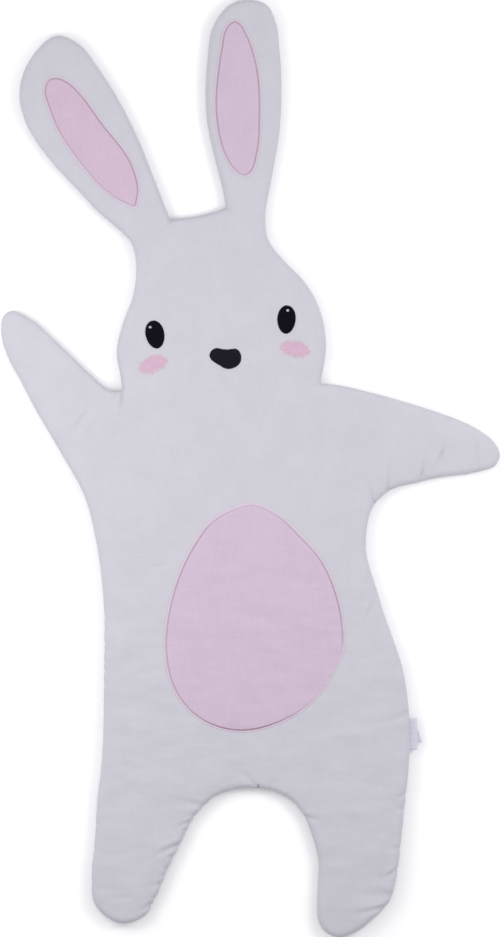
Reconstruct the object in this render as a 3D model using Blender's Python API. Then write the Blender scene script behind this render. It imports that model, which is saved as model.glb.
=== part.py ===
# A padded play mat in the shape of a rabbit, lying face up on a floor.
#
# Two cloth panels are sewn together along the seam line, turned and filled, so the
# mat is one filled solid: flat below, crowned above and drawn in to a knife edge.
# The appliques, their edge stitching and the embroidered face lie on it as thin
# pieces that follow its surface, and two bare labels stand out of the side seam.
#
# Shapes are worked out in millimetres and turned into metres as objects are made.

import math
from collections import namedtuple

import bmesh
import bpy
import numpy as np
from mathutils import Vector
from mathutils.geometry import delaunay_2d_cdt, interpolate_bezier

METRES = 0.001

# Heights of the filled mat. Its rim is steep and round as far in as the edge reach,
# and then the top still rises by the crown's small share. The keel is the rim below.
THICKNESS = 20.0
SEAM_HEIGHT = 9.0
EDGE_REACH = 7.0
EDGE_FULLNESS = 0.4
CROWN_REACH = 24.0
CROWN_SHARE = 0.16
KEEL_REACH = 20.0

# Cloth and thread that lie on the mat.
PIECE_GAP = 0.3
APPLIQUE_CLOTH = 1.2
BAND_HALF = 1.3
STITCH_BAND_RISE = 1.0
CHANNEL_DEPTH = 1.5
CHANNEL_HALF_WIDTH = 3.5
EMBROIDERY_EDGE = 0.8
EMBROIDERY_RISE = 1.6
EMBROIDERY_SLOPE = 4.0
LIGHT_RISE = 0.8
BLUSH_RISE = 0.7

# Spacing of the points that carry each shape. A row follows the seam at a depth
# inside it, where a tight bend can bring its points nearer to the seam: such a point
# is left out below a share of the depth. Crowding is how much of its spacing, or of
# its row's distance from the row before, a loose point has to keep. A pucker's points
# are so many half widths apart.
SEAM_STEP = 8.0
STITCH_LINE_STEP = 8.0
EMBROIDERY_STEP = 3.0
FINE_SPACING = 3.0
FLANK = 5.5
EYE_POINTS = 24
LIGHT_POINTS = 10
CURVE_STEPS = 16
FIELD_PITCH = 25.0
CROWDING = 0.6
ROW_DEPTH_KEPT = 0.9
PUCKER_STEP = 1.6
PUCKER_FLANK = 1.3
SEAM_WELD = 0.02
Row = namedtuple("Row", "depth step")
CROWN_ROWS = (Row(1.5, 8), Row(4, 8), Row(EDGE_REACH, 16), Row(14, 16), Row(CROWN_REACH, 16))
KEEL_ROWS = (Row(2, 8), Row(6, 16), Row(12, 16), Row(KEEL_REACH, 24))

Sheet = namedtuple("Sheet", "corners heights faces centres")
SHARP_EDGE = math.radians(50)
SHARP = "sharp"

# The seam line by stretch, clockwise from the root of the left ear: x and y of each
# point, +x to the picture's right and +y to its top. A sharp point is a corner
# where two curves of the pattern meet, and the line is smooth at all others.
SEAM_LINE = {
    "top of head": [(-102, 318, SHARP), (-64, 323), (-31, 333, SHARP)],
    "right ear": [
        (-35, 355), (-48, 407), (-55, 442), (-57, 478), (-54, 530), (-50, 558), (-41, 577.5),
        (-26, 593), (0, 599.5), (21.5, 593), (32.5, 573), (38, 535), (40.5, 478), (38, 431),
        (28, 371), (20, 318),
    ],
    "right of head": [
        (23, 294), (33.8, 276.5), (47.9, 261.2), (71, 237), (85, 214), (97.5, 160),
        (91, 109, SHARP),
    ],
    "right arm": [
        (115, 106), (154, 97), (230, 75), (269, 61), (294.5, 48), (314, 31.5), (320, 17),
        (315, 4), (294, -4.4), (276, -8.4), (249, -11), (218, -18), (179, -29), (160, -46),
        (148.5, -92),
    ],
    "right side": [
        (166.5, -169), (198.7, -271), (204.5, -329), (202.5, -393), (197.5, -440), (192.5, -489),
    ],
    "right leg": [
        (188, -523), (179.3, -553.5), (160.5, -574.5), (134, -594.5), (113.5, -600.7), (94.5, -592),
        (85.8, -573), (85.7, -560), (86.2, -540), (87.2, -502),
    ],
    "crotch": [
        (79, -470), (69.5, -446.5), (51, -425), (27, -413), (0, -410), (-26, -413),
        (-51.5, -425.5), (-71.5, -448),
    ],
    "left leg": [
        (-83, -470), (-104, -512.5), (-119.3, -548), (-133.4, -572), (-147.5, -580.3),
        (-163, -583), (-182.5, -575.5), (-198, -560), (-203, -522), (-199, -477), (-195.8, -425),
    ],
    "left side": [
        (-190.3, -381), (-188.2, -345), (-187.6, -292), (-187.2, -245), (-187, -184), (-197.6, -92),
        (-210.5, -40), (-243.5, 21.5),
    ],
    "left arm": [
        (-280, 84.5), (-293, 110), (-308.6, 138.5), (-318.8, 179), (-316, 194.5), (-304, 202),
        (-290.5, 196.8), (-241, 155.8), (-203, 119), (-190.5, 107.8), (-178, 99.3),
        (-163.8, 99.5, SHARP),
    ],
    "left of head": [(-166, 118), (-170.8, 145), (-162.6, 187), (-150.8, 218), (-146.2, 246)],
    "left ear": [
        (-147.5, 274), (-152.8, 289), (-166, 303), (-194, 327), (-220.5, 355.5), (-256.4, 394.4),
        (-288.6, 445.3), (-295.5, 475), (-293.2, 496.5), (-269.5, 538.8), (-256.5, 550),
        (-243, 553.5), (-218.6, 542.5), (-192, 509.2), (-145.6, 427.3), (-119.6, 363),
    ],
}

# Lines along which the appliques are sewn down, and the names of their stitching.
STITCH_LINES = {
    "tummy_patch": [
        (2, -47.5), (-25, -55), (-49, -70), (-67.5, -94), (-89, -136), (-102, -180), (-107, -233),
        (-96.5, -280), (-81, -304), (-60, -321.5), (-18, -334.7), (38, -323.5), (84.2, -291.7),
        (105.2, -258.8), (117.5, -232), (118, -208), (110.5, -165), (90, -118), (62, -86), (36, -62),
    ],
    "inner_ear_right": [
        (-20, 571), (-29, 563), (-35.5, 538), (-40, 508), (-43, 463), (-40, 432), (-32, 403),
        (-16, 379.5), (-6.5, 374.7), (0.5, 379.5), (8, 401), (12, 446), (4, 530), (-5, 554), (-15, 569),
    ],
    "inner_ear_left": [
        (-246, 498), (-256, 497), (-261.2, 487.2), (-255.2, 458.5), (-218, 393), (-168, 344),
        (-147.4, 334.6, SHARP), (-143.6, 356), (-150, 383), (-192, 443), (-217, 477), (-230, 490),
    ],
}
STITCHING = {
    "tummy_patch": "tummy_stitching",
    "inner_ear_right": "ear_stitching_right",
    "inner_ear_left": "ear_stitching_left",
}

# The embroidered eyes, a little narrower at the bottom, each with its point of light.
# Lean is in degrees to the left, and the half sizes are across and along the eye.
Eye = namedtuple("Eye", "side x y half_width half_height lean light_x light_y light_radius")
EYES = (
    Eye("left", -121.5, 170.9, 12.0, 18.1, 11.3, -127.7, 180.2, 2.1),
    Eye("right", 46.6, 190.0, 11.7, 18.1, -3.2, 48.2, 201.7, 2.1),
)
EYE_EGG = 0.06
LIGHTS = {"eye_light_left": "eye_left", "eye_light_right": "eye_right"}

MOUTH_LINE = [
    (-51.8, 144.4), (-50.4, 148.8), (-46.8, 152.2), (-42.4, 153.7), (-38.4, 152.7), (-30.4, 151.8),
    (-22.4, 152.4), (-18, 152.6), (-14, 149.8), (-11.7, 145.1), (-11.3, 140.1), (-13, 134.2),
    (-17, 130.2), (-22.7, 127.6), (-27.4, 126.9), (-32.4, 127.6), (-37.4, 130.6), (-44.9, 135),
    (-49.7, 138.9),
]

# The blush is embroidered in upright stitches of uneven length, so its edge is
# ragged. Turn is in degrees, and reach is what each stitch end adds to the oval.
Blush = namedtuple("Blush", "side x y half_width half_height turn stitch_ends")
BLUSHES = (
    Blush("left", -124.0, 132.8, 17.5, 9.5, 22, 30),
    Blush("right", 57.6, 152.2, 18.0, 9.5, -13, 32),
)
RAGGED_REACH = (1.8, -0.6, 0.9, -1.2, 2.1, 0.0, 1.2)

# Puckers that the gathered seam throws into the top: where each one starts on the
# seam, the direction in which it runs inward, its length, half width and depth.
Pucker = namedtuple("Pucker", "x y direction length half_width depth")
PUCKERS = (
    Pucker(-30.7, 331, 255, 18, 4, 1.6),
    Pucker(-101.8, 316, 280, 16, 4, 1.3),
    Pucker(90.9, 109, 205, 18, 4, 1.3),
    Pucker(-164.0, 97, 240, 28, 5, 1.8),
    Pucker(156, -50, 102, 34, 5, 1.8),
    Pucker(176, -29, 88, 46, 9, 1.6),
    Pucker(224, -16, 76, 46, 9, 1.3),
    Pucker(201, -311, 206, 20, 5, 1.0),
    Pucker(197, -416, 205, 16, 4, 1.2),
    Pucker(195, -435, 185, 14, 4, 1.0),
    Pucker(187, -516, 215, 26, 4.5, 2.4),
    Pucker(179, -544, 176, 50, 6, 1.6),
    Pucker(172, -561, 193, 40, 5, 2.0),
    Pucker(69, -443, 346, 26, 4, 1.4),
    Pucker(10, -408, 96, 16, 3.5, 1.8),
    Pucker(-66.6, -429, 168, 22, 4.5, 1.4),
    Pucker(-75.5, -450, 202, 26, 4.5, 1.8),
    Pucker(-93.4, -484, 193, 50, 5, 2.6),
    Pucker(-116.5, -535, 185, 38, 4.5, 1.6),
    Pucker(-125.4, -558, 190, 28, 5, 1.8),
)

# The labels in the right side seam, between these heights in the picture.
SIDE_LABEL = {"top": -320.0, "bottom": -360.0, "proud": 9.0, "layer": 0.6, "slot": 0.5}
CARE_LABEL = {"top": -324.0, "bottom": -351.0, "shoulder": 6.6, "proud": 15.2, "cloth": 0.5}

Finish = namedtuple("Finish", "name colour roughness")
FINISHES = {
    "cotton": Finish("off white cotton", (0.64, 0.62, 0.68), 0.9),
    "pink": Finish("pink cotton", (0.66, 0.53, 0.65), 0.9),
    "mauve": Finish("mauve stitching", (0.48, 0.35, 0.45), 0.75),
    "black": Finish("black embroidery", (0.012, 0.010, 0.018), 0.6),
    "pale": Finish("pale grey thread", (0.58, 0.58, 0.60), 0.6),
    "blush": Finish("blush pink thread", (0.67, 0.44, 0.57), 0.7),
    "label": Finish("woven label tape", (0.75, 0.75, 0.78), 0.6),
}


# Plane geometry

def curve_handles(before, here, after):
    """Handles of a smooth curve point, weighted by the distance to each neighbour."""
    reach_in = (here - before).length
    reach_out = (after - here).length
    slope = (here - before) * (reach_out / reach_in) + (after - here) * (reach_in / reach_out)
    slope = slope / (reach_in + reach_out)
    return here - slope * (reach_in / 3), here + slope * (reach_out / 3)


def corner_handles(before, here, after):
    """Handles of a sharp point, each aimed at its neighbour."""
    return here.lerp(before, 1 / 3), here.lerp(after, 1 / 3)


def even_steps(line, step):
    """Points at even steps along an open line, without its last point."""
    lengths = np.linalg.norm(np.diff(line, axis=0), axis=1)
    travelled = np.concatenate(([0.0], np.cumsum(lengths)))
    count = max(2, round(travelled[-1] / step))
    stops = np.linspace(0, travelled[-1], count, endpoint=False)
    return np.column_stack([np.interp(stops, travelled, line[:, axis]) for axis in (0, 1)])


def smooth_loop(rows, step):
    """A closed line through the rows, smooth except at sharp ones, in even steps."""
    knots = [Vector(row[:2]).to_3d() for row in rows]
    sharp = [SHARP in row for row in rows]
    count = len(rows)
    handles = []
    for index, here in enumerate(knots):
        pick = corner_handles if sharp[index] else curve_handles
        handles.append(pick(knots[index - 1], here, knots[(index + 1) % count]))
    first = sharp.index(True) if any(sharp) else 0
    pieces = []
    run = []
    for offset in range(count):
        index = (first + offset) % count
        after = (index + 1) % count
        span = interpolate_bezier(
            knots[index], handles[index][1], handles[after][0], knots[after], CURVE_STEPS
        )
        run.extend(point.to_2d() for point in span[:-1])
        if sharp[after] or offset == count - 1:
            run.append(knots[after].to_2d())
            pieces.append(even_steps(np.array(run), step))
            run = []
    return np.concatenate(pieces)


def outward_normals(loop):
    """Unit normals at the points of a closed line, pointing out of it."""
    ahead = np.roll(loop, -1, axis=0) - np.roll(loop, 1, axis=0)
    ahead /= np.linalg.norm(ahead, axis=1)[:, None]
    left = np.column_stack((-ahead[:, 1], ahead[:, 0]))
    following = np.roll(loop, -1, axis=0)
    area = np.sum(loop[:, 0] * following[:, 1] - following[:, 0] * loop[:, 1])
    return left if area < 0 else -left


def offset_loop(loop, distance):
    """The closed line moved outward by the distance, or inward if it is negative."""
    return loop + outward_normals(loop) * distance


def distance_to(loop, points):
    """Distance from each point to a closed line."""
    start = loop[None, :, :]
    span = (np.roll(loop, -1, axis=0) - loop)[None, :, :]
    gap = points[:, None, :] - start
    along = np.clip(np.sum(gap * span, axis=2) / np.sum(span * span, axis=2), 0, 1)
    return np.linalg.norm(gap - along[:, :, None] * span, axis=2).min(axis=1)


def inside(loop, points):
    """Whether each point lies inside a closed line."""
    x, y = points[:, None, 0], points[:, None, 1]
    x0, y0 = loop[None, :, 0], loop[None, :, 1]
    x1, y1 = np.roll(x0, -1, axis=1), np.roll(y0, -1, axis=1)
    spans = (y0 > y) != (y1 > y)
    rise = np.where(spans, y1 - y0, 1.0)
    crossings = spans & (x < x0 + (x1 - x0) * (y - y0) / rise)
    return crossings.sum(axis=1) % 2 == 1


def oval(x, y, half_width, half_height, turn, count, egg=0.0, ragged=()):
    """An oval turned by so many degrees, narrower at its bottom by egg, or ragged."""
    points = []
    for index in range(count):
        angle = math.tau * index / count
        reach = ragged[index % len(ragged)] if ragged else 0.0
        across = math.cos(angle) * half_width * (1 + egg * math.sin(angle))
        along = math.sin(angle) * (half_height + reach)
        tilt = math.radians(turn)
        points.append((
            x + across * math.cos(tilt) - along * math.sin(tilt),
            y + across * math.sin(tilt) + along * math.cos(tilt),
        ))
    return np.array(points)


# Heights of the filled mat

def arch(distance, reach):
    """0 at the seam and 1 from the reach inward, level where it gets there."""
    part = np.clip((distance - SEAM_WELD) / reach, 0, 1)
    return 1 - (1 - part) ** 2


def crown(distance):
    """The share of its rise that the top has reached: a round edge, then a low crown."""
    edge = arch(distance, EDGE_REACH) ** EDGE_FULLNESS
    return edge + (arch(distance, CROWN_REACH) - edge) * CROWN_SHARE


def channel_depth(points, stitch_lines):
    """How far the stitching pulls the top down along the appliques."""
    depth = np.zeros(len(points))
    for line in stitch_lines:
        nearness = np.exp(-(distance_to(line, points) / CHANNEL_HALF_WIDTH) ** 2)
        depth = np.maximum(depth, CHANNEL_DEPTH * nearness)
    return depth


def pucker_axes(pucker):
    """The pucker's direction of travel and the direction across it."""
    angle = math.radians(pucker.direction)
    along = np.array((math.cos(angle), math.sin(angle)))
    return along, np.array((-along[1], along[0]))


def pucker_depth(points):
    """How far the puckers sink the top."""
    depth = np.zeros(len(points))
    for pucker in PUCKERS:
        along, across = pucker_axes(pucker)
        gap = points - np.array((pucker.x, pucker.y))
        travel = np.clip(gap @ along / pucker.length, 0, 1)
        fade = np.cos(travel * math.pi / 2) ** 2
        depth += pucker.depth * fade * np.exp(-((gap @ across) / pucker.half_width) ** 2)
    return depth


def top_height(points, seam, stitch_lines):
    """Height of the mat's upper face."""
    rise = crown(distance_to(seam, points))
    sunk = pucker_depth(points) + channel_depth(points, stitch_lines)
    return SEAM_HEIGHT + rise * (THICKNESS - SEAM_HEIGHT - sunk)


def underside_height(points, seam):
    """Height of the mat's lower face, which is flat but for its rim."""
    return SEAM_HEIGHT * (1 - arch(distance_to(seam, points), KEEL_REACH) ** EDGE_FULLNESS)


# Points that carry the faces

def rows_inside(seam, rows):
    """Points that follow the seam row by row, each row with its crowding distance."""
    batches = []
    outer = 0.0
    for row in rows:
        points = offset_loop(seam, -row.depth)[::round(row.step / SEAM_STEP)]
        deep = distance_to(seam, points) > ROW_DEPTH_KEPT * row.depth
        in_place = inside(seam, points) & deep
        batches.append((points[in_place], CROWDING * (row.depth - outer)))
        outer = row.depth
    return batches


def pucker_points():
    """Points along each pucker and on both its flanks."""
    points = []
    for pucker in PUCKERS:
        along, across = pucker_axes(pucker)
        start = np.array((pucker.x, pucker.y))
        for travel in np.arange(pucker.half_width, pucker.length, PUCKER_STEP * pucker.half_width):
            for side in (-PUCKER_FLANK, 0, PUCKER_FLANK):
                points.append(start + along * travel + across * side * pucker.half_width)
    return np.array(points)


def field_points(seam, pitch):
    """A triangular lattice over the mat."""
    low, high = seam.min(axis=0), seam.max(axis=0)
    points = []
    for row, y in enumerate(np.arange(low[1], high[1], pitch * math.sqrt(3) / 2)):
        shift = pitch / 2 if row % 2 else 0.0
        points.extend((x + shift, y) for x in np.arange(low[0], high[0], pitch))
    points = np.array(points)
    points = points[inside(seam, points)]
    return points[distance_to(seam, points) > pitch / 2]


def thinned(fixed, batches):
    """Each batch's points that keep its spacing to all points before them."""
    kept = [np.array(fixed)]
    for batch, spacing in batches:
        for point in batch:
            near = min(np.linalg.norm(known - point, axis=1).min() for known in kept)
            if near > spacing:
                kept.append(point[None, :])
    return np.concatenate(kept[1:])


def triangulate(seam, loops, loose):
    """A sheet of triangles inside the seam, with every loop as a line of edges."""
    points = [Vector(point) for line in (seam, *loops) for point in line]
    points += [Vector(point) for point in loose]
    edges = []
    start = 0
    for line in (seam, *loops):
        edges += [(start + i, start + (i + 1) % len(line)) for i in range(len(line))]
        start += len(line)
    found = delaunay_2d_cdt(points, edges, [], 0, 1e-6)
    corners = np.array([tuple(point) for point in found[0]])
    faces = np.array(found[2])
    return corners, faces[inside(seam, corners[faces].mean(axis=1))]


# Objects

def new_material(finish):
    material = bpy.data.materials.new(finish.name)
    material.use_nodes = True
    shader = material.node_tree.nodes["Principled BSDF"]
    shader.inputs["Base Color"].default_value = (*finish.colour, 1.0)
    shader.inputs["Roughness"].default_value = finish.roughness
    shader.inputs["Metallic"].default_value = 0.0
    material.diffuse_color = (*finish.colour, 1.0)
    return material


class Mat:
    """The collection, the frame that every piece hangs from, and the finishes."""

    def __init__(self, name, middle):
        self.collection = bpy.data.collections.new(name)
        bpy.context.scene.collection.children.link(self.collection)
        self.frame = bpy.data.objects.new(name, None)
        self.frame.location = (-middle[0] * METRES, -middle[1] * METRES, 0)
        self.collection.objects.link(self.frame)
        self.finishes = {key: new_material(finish) for key, finish in FINISHES.items()}

    def add(self, name, shape, finish):
        """Turns a bmesh in millimetres into an object in metres."""
        bmesh.ops.scale(shape, vec=(METRES,) * 3, verts=shape.verts)
        bmesh.ops.recalc_face_normals(shape, faces=shape.faces)
        mesh = bpy.data.meshes.new(name)
        shape.to_mesh(mesh)
        shape.free()
        mesh.materials.append(self.finishes[finish])
        mesh.shade_smooth()
        mesh.set_sharp_from_angle(angle=SHARP_EDGE)
        piece = bpy.data.objects.new(name, mesh)
        piece.parent = self.frame
        self.collection.objects.link(piece)


def add_sheet(shape, corners, heights, faces):
    """Adds triangles to a bmesh, and returns its new points by their index."""
    made = {}
    for index in np.unique(faces):
        made[index] = shape.verts.new((*corners[index], heights[index]))
    for face in faces:
        shape.faces.new([made[index] for index in face])
    return made


def extruded_points(shape, faces):
    """Extrudes faces, keeps the originals, and returns the points of the copy."""
    grown = bmesh.ops.extrude_face_region(shape, geom=faces, use_keep_orig=True)
    return [element for element in grown["geom"] if isinstance(element, bmesh.types.BMVert)]


def filled_body(seam, top):
    """The two panels with their filling, joined along the seam."""
    loose = thinned(seam, rows_inside(seam, KEEL_ROWS))
    under, under_faces = triangulate(seam, (), loose)
    shape = bmesh.new()
    add_sheet(shape, top.corners, top.heights, top.faces)
    add_sheet(shape, under, underside_height(under, seam), under_faces)
    bmesh.ops.remove_doubles(shape, verts=shape.verts, dist=SEAM_WELD)
    return shape


def raised_piece(top, within, base, rise):
    """A thin piece over some of the top's triangles: base below, base + rise above."""
    shape = bmesh.new()
    rise_of = shape.verts.layers.float.new("rise")
    made = add_sheet(shape, top.corners, base, top.faces[within])
    for index, point in made.items():
        point[rise_of] = rise[index]
    for point in extruded_points(shape, shape.faces[:]):
        point.co.z += point[rise_of]
    shape.verts.layers.float.remove(rise_of)
    return shape


def extruded_outline(outline, travel):
    """A flat outline extruded along a vector."""
    shape = bmesh.new()
    face = shape.faces.new([shape.verts.new(point) for point in outline])
    bmesh.ops.translate(shape, vec=travel, verts=extruded_points(shape, [face]))
    return shape


def top_sheet(seam, stitch_lines, face_outlines):
    """The mat's upper face, with the edges of all that lies on it among its edges."""
    rims = [offset_loop(line, side) for line in stitch_lines for side in (-BAND_HALF, BAND_HALF)]
    flanks = [offset_loop(line, side) for line in stitch_lines for side in (-FLANK, FLANK)]
    domes = [offset_loop(line, -EMBROIDERY_SLOPE)[::2] for line in face_outlines.values()]
    batches = [(line, FINE_SPACING) for line in (pucker_points(), *domes, *flanks)]
    batches += rows_inside(seam, CROWN_ROWS)
    batches.append((field_points(seam, FIELD_PITCH), CROWDING * FIELD_PITCH))
    loops = [*rims, *face_outlines.values()]
    loose = thinned(np.concatenate([seam, *loops]), batches)
    corners, faces = triangulate(seam, loops, loose)
    heights = top_height(corners, seam, stitch_lines)
    return Sheet(corners, heights, faces, corners[faces].mean(axis=1))


def add_applique(mat, top, line, patch_name, stitching_name):
    """A patch of cloth, and over its edge the band of stitches that holds it."""
    on_patch = inside(offset_loop(line, BAND_HALF), top.centres)
    on_cloth = inside(offset_loop(line, -BAND_HALF), top.centres)
    base = top.heights + PIECE_GAP
    cloth = np.full(len(base), APPLIQUE_CLOTH)
    mat.add(patch_name, raised_piece(top, on_patch, base, cloth), "pink")
    base = base + cloth + PIECE_GAP
    thread = np.full(len(base), STITCH_BAND_RISE)
    mat.add(stitching_name, raised_piece(top, on_patch & ~on_cloth, base, thread), "mauve")


def embroidery_rise(top, outline):
    """Height of dense stitches over the cloth, lower toward the outline."""
    part = np.clip(distance_to(outline, top.corners) / EMBROIDERY_SLOPE, 0, 1)
    return EMBROIDERY_EDGE + (EMBROIDERY_RISE - EMBROIDERY_EDGE) * part


def add_face(mat, top, outlines):
    """The embroidered eyes with their points of light, the mouth and the blush."""
    base = top.heights + PIECE_GAP
    for name, outline in outlines.items():
        within = inside(outline, top.centres)
        if name in LIGHTS:
            under = embroidery_rise(top, outlines[LIGHTS[name]]) + PIECE_GAP
            shape = raised_piece(top, within, base + under, np.full(len(base), LIGHT_RISE))
            mat.add(name, shape, "pale")
        elif name.startswith("blush"):
            mat.add(name, raised_piece(top, within, base, np.full(len(base), BLUSH_RISE)), "blush")
        else:
            shape = raised_piece(top, within, base, embroidery_rise(top, outline))
            mat.add(name, shape, "black")


def add_labels(mat, seam):
    """The folded front label, and a corner of the thin one that shows behind it."""
    size = SIDE_LABEL
    beside = (seam[:, 0] > 0) & (seam[:, 1] < size["top"]) & (seam[:, 1] > size["bottom"])
    root = seam[beside][:, 0].max() + PIECE_GAP
    fold = root + size["proud"]
    slot = size["slot"] / 2
    skin = slot + size["layer"]
    bend = size["layer"]
    section = [
        (root, skin), (fold - bend, skin), (fold, slot), (fold, -slot), (fold - bend, -skin),
        (root, -skin), (root, -slot), (fold - 2 * bend, -slot), (fold - 2 * bend, slot),
        (root, slot),
    ]
    outline = [(x, size["bottom"], SEAM_HEIGHT + z) for x, z in section]
    length = (0, size["top"] - size["bottom"], 0)
    mat.add("side_label", extruded_outline(outline, length), "label")

    size = CARE_LABEL
    under = SEAM_HEIGHT - skin - PIECE_GAP
    outline = [
        (root, size["top"], under), (root + size["shoulder"], size["top"], under),
        (root + size["proud"], size["bottom"], under), (root, size["bottom"], under),
    ]
    mat.add("care_label", extruded_outline(outline, (0, 0, -size["cloth"])), "label")


def face_outlines():
    """The outline of each embroidered shape of the face, by the name of its node."""
    outlines = {"mouth": smooth_loop(MOUTH_LINE, EMBROIDERY_STEP)}
    for eye in EYES:
        outlines["eye_" + eye.side] = oval(
            eye.x, eye.y, eye.half_width, eye.half_height, eye.lean, EYE_POINTS, egg=EYE_EGG
        )
        radius = eye.light_radius
        outlines["eye_light_" + eye.side] = oval(
            eye.light_x, eye.light_y, radius, radius, eye.lean, LIGHT_POINTS
        )
    for spot in BLUSHES:
        outlines["blush_" + spot.side] = oval(
            spot.x, spot.y, spot.half_width, spot.half_height, spot.turn, spot.stitch_ends,
            ragged=RAGGED_REACH,
        )
    return outlines


def build():
    for thing in list(bpy.data.objects):
        bpy.data.objects.remove(thing, do_unlink=True)

    seam = smooth_loop([row for rows in SEAM_LINE.values() for row in rows], SEAM_STEP)
    lines = {name: smooth_loop(rows, STITCH_LINE_STEP) for name, rows in STITCH_LINES.items()}
    outlines = face_outlines()
    top = top_sheet(seam, list(lines.values()), outlines)

    mat = Mat("rabbit_mat", (seam.min(axis=0) + seam.max(axis=0)) / 2)
    mat.add("body", filled_body(seam, top), "cotton")
    for name, line in lines.items():
        add_applique(mat, top, line, name, STITCHING[name])
    add_face(mat, top, outlines)
    add_labels(mat, seam)


build()
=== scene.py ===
# A rabbit shaped padded play mat, lying face up on a pale floor.
#
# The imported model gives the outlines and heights. On top of it come the finely
# crowned body with its gathers and folds, the appliques and their edge stitches,
# the embroidery thread by thread, and the two bare labels in the side seam.
# Lengths are in millimetres until an object is made, which turns them into metres.

import math
import random

import bmesh
import bpy
import numpy as np
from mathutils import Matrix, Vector, kdtree, noise
from mathutils.geometry import delaunay_2d_cdt


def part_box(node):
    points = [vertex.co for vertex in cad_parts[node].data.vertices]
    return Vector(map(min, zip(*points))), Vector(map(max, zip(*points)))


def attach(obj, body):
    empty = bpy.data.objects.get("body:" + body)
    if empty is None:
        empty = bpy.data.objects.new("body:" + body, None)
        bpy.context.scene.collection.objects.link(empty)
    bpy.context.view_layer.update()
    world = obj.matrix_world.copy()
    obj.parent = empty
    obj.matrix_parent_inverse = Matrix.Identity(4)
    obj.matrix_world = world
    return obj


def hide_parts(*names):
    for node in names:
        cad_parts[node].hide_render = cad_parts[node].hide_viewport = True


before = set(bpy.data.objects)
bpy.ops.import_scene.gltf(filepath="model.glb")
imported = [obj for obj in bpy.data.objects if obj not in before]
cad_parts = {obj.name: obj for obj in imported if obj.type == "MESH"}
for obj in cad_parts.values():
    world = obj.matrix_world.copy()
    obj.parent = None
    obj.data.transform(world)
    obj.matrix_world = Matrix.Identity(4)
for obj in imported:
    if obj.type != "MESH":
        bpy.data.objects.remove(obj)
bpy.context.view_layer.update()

mm = 0.001

print("frame loaded:", len(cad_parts), "nodes")


# Small tools

def toLinear(hexColour):
    values = [int(hexColour[i:i + 2], 16) / 255 for i in (1, 3, 5)]
    return [v / 12.92 if v <= 0.04045 else ((v + 0.055) / 1.055) ** 2.4 for v in values] + [1.0]


def addNode(tree, kind, inputs=None, **settings):
    node = tree.nodes.new(kind)
    for key, value in settings.items():
        setattr(node, key, value)
    for key, value in (inputs or {}).items():
        if isinstance(value, bpy.types.NodeSocket):
            tree.links.new(value, node.inputs[key])
        else:
            node.inputs[key].default_value = value
    return node


def smoothStep(values):
    part = np.clip(values, 0, 1)
    return part * part * (3 - 2 * part)


def noiseAt(points, size, seed):
    # soft noise from -1 to 1 with features of about that size, the same on every run
    return np.array([noise.noise(Vector((x / size, y / size, seed))) for x, y in points])


def heading(degrees):
    # the unit direction of that heading, and the one a quarter turn to its left
    along = np.array((math.cos(math.radians(degrees)), math.sin(math.radians(degrees))))
    return along, np.array((-along[1], along[0]))


# Closed lines, as arrays of x and y

def outlineOf(nodeName):
    # the outer line of a CAD node seen from above
    shape = bmesh.new()
    shape.from_mesh(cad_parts[nodeName].data)
    bmesh.ops.remove_doubles(shape, verts=shape.verts, dist=1e-6)
    above = {face.index for face in shape.faces if face.normal.z > 0.02}
    after = {}
    for face in shape.faces:
        if face.index not in above:
            continue
        for loop in face.loops:
            beyond = loop.link_loop_radial_next.face.index
            if beyond not in above:
                after[loop.vert.index] = loop.link_loop_next.vert.index
    shape.verts.ensure_lookup_table()
    loops = []
    while after:
        start, here = after.popitem()
        line = [start]
        while here != start:
            line.append(here)
            here = after.pop(here)
        loops.append(np.array([shape.verts[i].co[:2] for i in line]) / mm)
    shape.free()
    return max(loops, key=lambda loop: np.ptp(loop, axis=0).max())


def evenLoop(loop, step):
    # a smooth line through the loop's points, cut into even steps
    before, ahead, beyond = (np.roll(loop, shift, axis=0) for shift in (1, -1, -2))
    parts = []
    for t in np.arange(0, 1, 0.125):
        parts.append(0.5 * (
            2 * loop + (ahead - before) * t
            + (2 * before - 5 * loop + 4 * ahead - beyond) * t ** 2
            + (3 * loop - before - 3 * ahead + beyond) * t ** 3
        ))
    dense = np.stack(parts, axis=1).reshape(-1, 2)
    closed = np.vstack([dense, dense[:1]])
    travelled = np.concatenate(([0], np.cumsum(np.linalg.norm(np.diff(closed, axis=0), axis=1))))
    stops = np.linspace(0, travelled[-1], round(travelled[-1] / step), endpoint=False)
    return np.column_stack([np.interp(stops, travelled, closed[:, axis]) for axis in (0, 1)])


def normalsOf(loop):
    # unit normals that point out of an anticlockwise line
    ahead = np.roll(loop, -1, axis=0) - np.roll(loop, 1, axis=0)
    ahead /= np.linalg.norm(ahead, axis=1)[:, None]
    return np.column_stack((ahead[:, 1], -ahead[:, 0]))


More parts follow.
